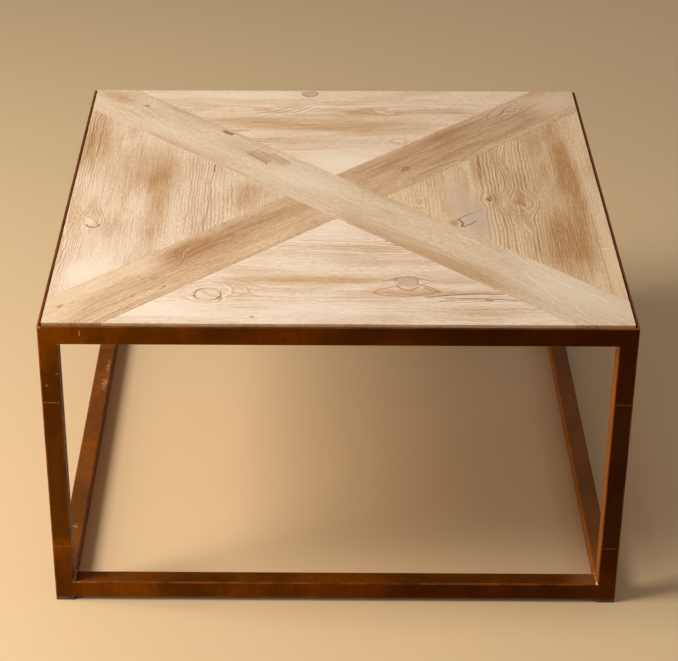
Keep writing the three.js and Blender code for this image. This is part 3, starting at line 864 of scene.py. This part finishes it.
# The two half boards: they butt against the long board and run to the other two corners. Both are browner,
# with open pores and dark streaks, and keep patches of old weathering.
left_board = cut_board("half_diagonal_board_front_left",
                       [(HALF_LOW, -1), (HALF_HIGH, -1), (LONG_LOW, 1)], top_z)
left_board.data.materials.append(plank(
    "brown_half_board_front_left", ALONG_HALF, 21.0, ("e6c9a6", "b98d5e"), (-160, 50, 3.4, 0.5, 22, 2.0),
    0.6,
    arches=[(-270, -310, 110, 30, 0)],
    stains=[(-130, -110, 220, 56, 0.45), (-190, -205, 200, 50, 0.45), (-205, -175, 80, 40, 0.35),
        (-300, -290, 100, 20, 0.3)],
    tints=[
        ("ecd3b6", [(-258, -222, 60, 36, 0.5), (-325, -280, 100, 40, 0.5), (-350, -345, 60, 50, 0.3)]),
        ("9c8468", [(-351, -328, 9, 6, 0.8)]),
        ("7a5436", [(-223, -274, 5, 3, 0.9), (-242, -252, 4, 3, 0.6)]),
    ],
    veins=[
        ("94683c", [
            (1.6, 0.6, [(-201, -192), (-193, -175), (-180, -158), (-165, -145), (-140, -122)]),
            (1.4, 0.5, [(-197, -193), (-185, -178), (-168, -160), (-148, -142)]),
            (1.3, 0.5, [(-192, -186), (-178, -172), (-160, -156), (-120, -118)]),
            (1.4, 0.5, [(-205, -190), (-206, -176), (-199, -160)]),
            (1.3, 0.4, [(-209, -196), (-214, -182), (-213, -166)]),
            (1.4, 0.45, [(-202, -200), (-205, -214), (-215, -232)]),
            (1.4, 0.45, [(-197, -203), (-196, -215)]),
            (1.5, 0.5, [(-150, -110), (-115, -72), (-96, -52)]),
            (1.5, 0.45, [(-128, -112), (-90, -78), (-62, -48)]),
        ]),
        ("e6caa4", [
            (1.2, 0.35, [(-203, -195), (-203, -180), (-196, -166), (-180, -150)]),
            (1.2, 0.3, [(-199, -190), (-189, -176), (-172, -158), (-154, -142)]),
        ]),
    ]))

right_board = cut_board("half_diagonal_board_back_right",
                        [(HALF_LOW, -1), (HALF_HIGH, -1), (LONG_HIGH, 1)], top_z)
right_board.data.materials.append(plank(
    "brown_half_board_back_right", ALONG_HALF, 33.0, ("dfbe9a", "b0865a"), (-230, 60, 4.0, 0.4, 26, 1.6),
    0.45,
    knots=[(271, 296, 10, 7, "9c917e", "8a7a68", 0.6), (100, 84, 6, 5, "a08058", "8c6c46", 0.3)],
    arches=[(262, 262, 90, 30, 2)],
    stains=[(165, 165, 330, 60, 0.5), (130, 175, 230, 20, 0.4), (215, 170, 180, 16, 0.4)],
    tints=[
        ("8f6640", [(180, 150, 80, 4, 0.5), (95, 118, 80, 4, 0.5), (205, 245, 60, 4, 0.5),
            (150, 110, 60, 3, 0.4)]),
        ("8c8878", [(263, 290, 9, 6, 0.7), (276, 302, 9, 6, 0.5)]),
        ("e2ccb0", [(340, 330, 100, 50, 0.55), (70, 60, 50, 20, 0.3)]),
    ],
    veins=[
        ("94683f", [
            (1.8, 0.5, [(120, 65), (150, 95), (185, 118), (210, 150)]),
            (1.8, 0.45, [(60, 75), (95, 112), (150, 160), (200, 205)]),
            (1.6, 0.4, [(228, 262), (232, 280), (245, 298)]),
            (1.6, 0.4, [(240, 240), (262, 262), (290, 282)]),
        ]),
    ]))


# The front panel: a wide pine board, grain from side to side. Two ringed knots lie in it, the right one with
# an eye of flowing grain below it, and there is a lens of pale cathedral lines nearer the middle.
PANEL_TOP = top_z - 0.0002

front_panel = cut_board("panel_front", [(LONG_LOW, 1), (HALF_HIGH, 1)], PANEL_TOP)
front_panel.data.materials.append(plank(
    "pine_panel_front", ALONG_X, 45.0, ("f4e1cd", "cca370"), (-100, 60, 3.4, 0.3, 16, 1.8),
    knots=[(-166, -294, 17, 16, "ead2b4", "94704e", 1), (92, -268, 14, 12, "dcbf9e", "94704e", 0.4),
        (89, -258, 15, 14.5, "dcc2a8", "8a6c54", 0.75)],
    arches=[(-146, -286, 62, 30, 4), (150, -312, 200, 34, 0), (-146, -312, 110, 30, 0),
        (35, -163, 140, 30, 0)],
    stains=[(-30, -254, 180, 22, 0.8), (160, -250, 140, 26, 0.4), (30, -163, 120, 20, 0.5),
        (190, -335, 120, 24, 0.45), (60, -205, 150, 24, 0.3), (120, -290, 140, 16, 0.35)],
    tints=[
        ("c6ad96", [(150, -259, 70, 12, 0.6), (112, -202, 40, 10, 0.5), (-225, -354, 80, 7, 0.45)]),
        ("d9b088", [(92, -284, 60, 16, 0.5), (50, -284, 30, 16, 0.5)]),
        ("fbeedd", [(-215, -335, 130, 46, 0.5), (-40, -340, 140, 40, 0.35), (-10, -115, 60, 40, 0.4)]),
    ],
    veins=[
        ("f8e7cf", [
            (1.7, 0.7, [(-60, -146), (-20, -145), (30, -149), (52, -153), (75, -158), (88, -162)]),
            (1.6, 0.4, [(-15, -161), (10, -163), (32, -166)]),
            (1.8, 0.8, [(-40, -170), (0, -174), (35, -179), (50, -180), (62, -177), (75, -179), (88, -180),
                (96, -176), (100, -172)]),
            (1.5, 0.5, [(30, -184), (60, -187), (80, -185), (110, -181)]),
            (1.8, 0.6, [(105, -301), (150, -296), (200, -293), (222, -293)]),
            (1.6, 0.6, [(150, -300), (190, -298), (232, -299)]),
            (1.6, 0.5, [(-196, -282), (-182, -268), (-166, -262), (-152, -268)]),
            (2.0, 0.6, [(-147, -266), (-138, -275), (-137, -287), (-145, -298)]),
        ]),
        ("c8935a", [
            (1.6, 0.5, [(-50, -142), (0, -143), (35, -146), (62, -150), (90, -159)]),
            (1.5, 0.6, [(38, -175), (48, -178), (58, -175), (68, -174)]),
            (1.4, 0.4, [(-20, -178), (20, -180), (45, -184), (70, -183)]),
            (2.0, 0.5, [(-152, -262), (-141, -267), (-133, -278), (-134, -292), (-142, -300)]),
            (1.8, 0.5, [(-148, -257), (-128, -264), (-116, -276), (-112, -288), (-128, -299)]),
            (1.8, 0.5, [(-142, -252), (-120, -258), (-104, -270), (-96, -276), (-60, -279)]),
            (1.6, 0.4, [(-200, -298), (-186, -310), (-168, -317), (-118, -306)]),
            (1.6, 0.4, [(-190, -270), (-172, -258), (-155, -259)]),
            (1.7, 0.5, [(-150, -249), (-124, -256), (-98, -264), (-55, -267)]),
            (1.7, 0.5, [(-146, -262), (-130, -269), (-121, -281)]),
            (1.6, 0.4, [(30, -315), (60, -317), (110, -314), (150, -309)]),
        ]),
        ("9a6a42", [
            (1.8, 0.75, [(76, -269), (84, -279), (96, -281), (103, -271)]),
            (2.0, 0.75, [(104, -265), (118, -272), (131, -284), (123, -284), (112, -273)]),
            (1.8, 0.6, [(131, -285), (112, -293), (86, -297), (58, -294), (46, -287), (54, -278),
                (74, -271)]),
            (1.6, 0.4, [(62, -284), (76, -291), (96, -292), (121, -285)]),
            (1.5, 0.5, [(-183, -299), (-181, -285), (-172, -278)]),
        ]),
        ("85592f", [
            (1.9, 0.85, [(112, -299), (150, -293), (168, -290), (212, -290)]),
            (1.7, 0.75, [(138, -304), (165, -302), (195, -303), (228, -307)]),
            (1.4, 0.55, [(128, -310), (165, -305), (188, -306)]),
            (2.4, 0.85, [(188, -306), (196, -307)]),
            (2.6, 0.85, [(-108, -352), (-107, -352)]),
            (2.4, 0.6, [(66, -144), (67, -145)]),
        ]),
    ]))


# The right panel: pine with its grain from front to back. A column of wavy cathedral rings runs down it
# past a knot, with a grey stain, a bark pocket and a second knot to its left and a brown band to its right.
right_panel = cut_board("panel_right", [(LONG_HIGH, 1), (HALF_HIGH, 1)], PANEL_TOP)
right_panel.data.materials.append(plank(
    "pine_panel_right", ALONG_Y, 57.0, ("e8cca8", "bc905e"), (-180, 40, 4.0, 0.3, 14, 2.4),
    knots=[(254, -24, 18, 15, "b8916c", "86624a", 0), (214, -14, 9, 7, "b0957f", "6e5646", 0),
        (107, 42, 6, 5.5, "a08c7c", "6e5a4c", 0.9)],
    arches=[(250, 20, 330, 34, 1.5), (237, 120, 60, 12, 2), (252, -70, 60, 12, 2), (116, -24, 34, 10, 3),
        (240, 0, 260, 50, 0)],
    stains=[(205, 85, 110, 20, 0.7), (222, 0, 70, 16, 0.4), (328, 120, 190, 26, 0.7),
        (338, -10, 140, 20, 0.6), (322, -125, 140, 60, 0.6), (300, 60, 360, 80, 0.35),
        (300, -170, 200, 70, 0.5), (240, 40, 300, 44, 0.25)],
    tints=[
        ("ccb29a", [(170, 0, 90, 40, 0.6), (188, -60, 80, 46, 0.7), (196, -100, 70, 40, 0.6)]),
        ("b8886a", [(255, -23, 22, 20, 0.7)]),
        ("a88464", [(160, -88, 16, 12, 0.7), (216, -12, 14, 12, 0.6)]),
        ("e6caa2", [(361, -180, 220, 16, 0.6)]),
        ("f2dcc0", [(358, -163, 3, 12, 0.9)]),
    ],
    veins=[
        ("6a4c34", [
            (1.8, 0.6, [(186, -58), (176, -67), (167, -77)]),
            (2.2, 0.85, [(167, -77), (171, -83), (173, -91), (170, -98), (174, -99)]),
            (1.7, 0.7, [(174, -99), (182, -92), (190, -83)]),
            (1.5, 0.3, [(186, -58), (202, -46)]),
            (2.6, 0.7, [(211, -11), (212, -16), (214, -19)]),
            (2.8, 0.7, [(254, -26), (255, -27)]),
            (3.4, 0.5, [(260, -31), (261, -32)]),
        ]),
        ("a2754c", [
            (1.4, 0.5, [(214, -8), (222, -7)]),
            (1.4, 0.5, [(350, -60), (350, -190), (352, -300)]),
            (1.4, 0.4, [(236, -34), (250, -55), (262, -48), (275, -32)]),
            (1.4, 0.4, [(232, -42), (250, -66), (268, -50)]),
        ]),
        ("f3dfc2", [(1.3, 0.3, [(234, -44), (250, -62), (266, -50)])]),
    ]))


# The back panel: pine, grain from side to side. A dark-ringed knot touches the back edge, a zigzag of
# nested rings lies in front of it, and a brown notched knot at the diagonal.
back_panel = cut_board("panel_back", [(LONG_HIGH, 1), (HALF_LOW, 1)], PANEL_TOP)
back_panel.data.materials.append(plank(
    "pine_panel_back", ALONG_X, 71.0, ("f0dac0", "c79d6c"), (294, 26, 3.8, 0.25, 12, 3.0),
    knots=[(-38, 358, 12, 11, "b99470", "6b4a30", 1), (94, 182, 9, 8, "e6caa6", "cba67a", 0.4)],
    arches=[(-15, 296, 140, 20, 1.5), (94, 182, 40, 14, 3), (20, 182, 90, 20, 0), (-60, 172, 120, 26, 0)],
    stains=[(-20, 242, 280, 54, 0.6), (60, 290, 240, 30, 0.4), (-60, 185, 130, 28, 0.35)],
    tints=[
        ("f4e4ce", [(-120, 350, 180, 34, 0.5), (20, 100, 140, 80, 0.7)]),
        ("ead4be", [(-135, 205, 30, 18, 0.7)]),
    ],
    veins=[
        ("c48c54", [
            (1.7, 0.55, [(-160, 287), (-135, 289), (-110, 294), (-84, 305), (-60, 310)]),
            (1.7, 0.75, [(-122, 281), (-96, 289), (-74, 302), (-52, 309)]),
            (1.7, 0.75, [(-100, 280), (-79, 286), (-61, 298), (-45, 308)]),
            (1.7, 0.75, [(-80, 279), (-62, 284), (-48, 296), (-36, 306)]),
            (1.6, 0.5, [(-60, 279), (-46, 284), (-34, 295), (-24, 304)]),
            (1.6, 0.5, [(-20, 292), (0, 300), (22, 297), (44, 287)]),
            (1.8, 0.7, [(54, 298), (60, 285), (70, 277), (80, 272), (92, 276), (112, 283), (160, 285),
                (215, 283)]),
            (1.6, 0.6, [(72, 294), (84, 288), (96, 281), (108, 290), (140, 296)]),
            (1.8, 0.5, [(-120, 167), (-90, 168), (-60, 171)]),
            (1.8, 0.5, [(-100, 151), (-50, 150), (-15, 153)]),
        ]),
        ("f8e9d2", [
            (1.4, 0.6, [(-148, 284), (-122, 285), (-98, 292), (-76, 304)]),
            (1.4, 0.6, [(-110, 279), (-88, 286), (-68, 299), (-54, 307)]),
            (1.4, 0.6, [(-90, 278), (-70, 284), (-54, 296), (-40, 306)]),
            (1.4, 0.6, [(-70, 279), (-54, 284), (-41, 295), (-30, 305)]),
            (1.4, 0.6, [(62, 297), (68, 288), (78, 281), (86, 285), (96, 293), (124, 299)]),
            (1.4, 0.5, [(84, 270), (110, 279), (160, 281), (215, 279)]),
            (1.4, 0.5, [(-98, 157), (-70, 154), (-38, 158)]),
        ]),
        ("7a5230", [
            (6, 0.8, [(-162, 214), (-159, 209), (-154, 204)]),
            (1.9, 0.6, [(-156, 217), (-128, 216)]),
            (1.6, 0.5, [(-132, 188), (-104, 187), (-80, 189)]),
            (2.4, 0.5, [(-86, 189), (-83, 189)]),
            (1.5, 0.4, [(-125, 179), (-105, 178), (-82, 181)]),
            (2.2, 0.6, [(-49, 352), (-44, 348), (-34, 347), (-27, 352)]),
        ]),
    ]))


# The left panel: pine with its grain from front to back. Tight rings bend round an oval knot at its edge,
# a crack runs in from the diagonal, and brown patches of old patina lie across the middle.
left_panel = cut_board("panel_left", [(LONG_LOW, 1), (HALF_LOW, 1)], PANEL_TOP)
left_panel.data.materials.append(plank(
    "pine_panel_left", ALONG_Y, 83.0, ("ead3b9", "bb8f5c"), (90, 70, 3.8, 0.22, 20, 1.8),
    knots=[(-335, -90, 18, 12, "e6cdae", "a0805f", 0)],
    arches=[(-358, -150, 110, 22, 3), (-352, 160, 180, 24, 0), (-180, 0, 170, 40, 0)],
    stains=[(-247, 60, 170, 36, 0.6), (-247, -75, 140, 26, 0.5), (-122, 0, 80, 40, 0.6),
        (-352, 190, 180, 40, 0.8), (-290, 80, 150, 70, 0.45), (-190, -60, 140, 34, 0.25),
        (-295, -130, 90, 30, 0.35)],
    tints=[
        ("cdb296", [(-275, 100, 90, 46, 0.4), (-320, 60, 80, 20, 0.35)]),
        ("e9cfb8", [(-336, -86, 26, 14, 0.8), (-332, -130, 90, 26, 0.4)]),
        ("efd2bc", [(-335, -235, 40, 36, 0.6)]),
        ("f4e5d2", [(-325, -245, 100, 66, 0.6), (-300, -160, 80, 50, 0.3)]),
    ],
    veins=[
        ("c8965e", [
            (1.6, 0.5, [(-363, -40), (-357, -60), (-349, -72)]),
            (1.6, 0.5, [(-356, -40), (-351, -60), (-344, -71)]),
            (2.2, 0.6, [(-367, -90), (-358, -81), (-348, -77)]),
            (1.8, 0.5, [(-350, -84), (-359, -96), (-364, -115), (-366, -145)]),
        ]),
        ("a47e5a", [
            (1.4, 0.7, [(-341, -72), (-333, -80), (-327, -90), (-325, -98)]),
            (1.3, 0.4, [(-345, -82), (-342, -95)]),
        ]),
        ("6e4c34", [
            (2.3, 0.75, [(-340, -98), (-336, -104), (-328, -106), (-323, -102), (-322, -97)]),
            (1.7, 0.8, [(-173, 96), (-175, 85), (-174, 72)]),
            (1.2, 0.4, [(-174, 72), (-178, 30), (-176, 0), (-178, -50), (-181, -112)]),
            (1.6, 0.6, [(-164, -96), (-164, -103)]),
            (1.5, 0.3, [(-363, 290), (-362, 240), (-360, 180), (-363, 130)]),
        ]),
    ]))
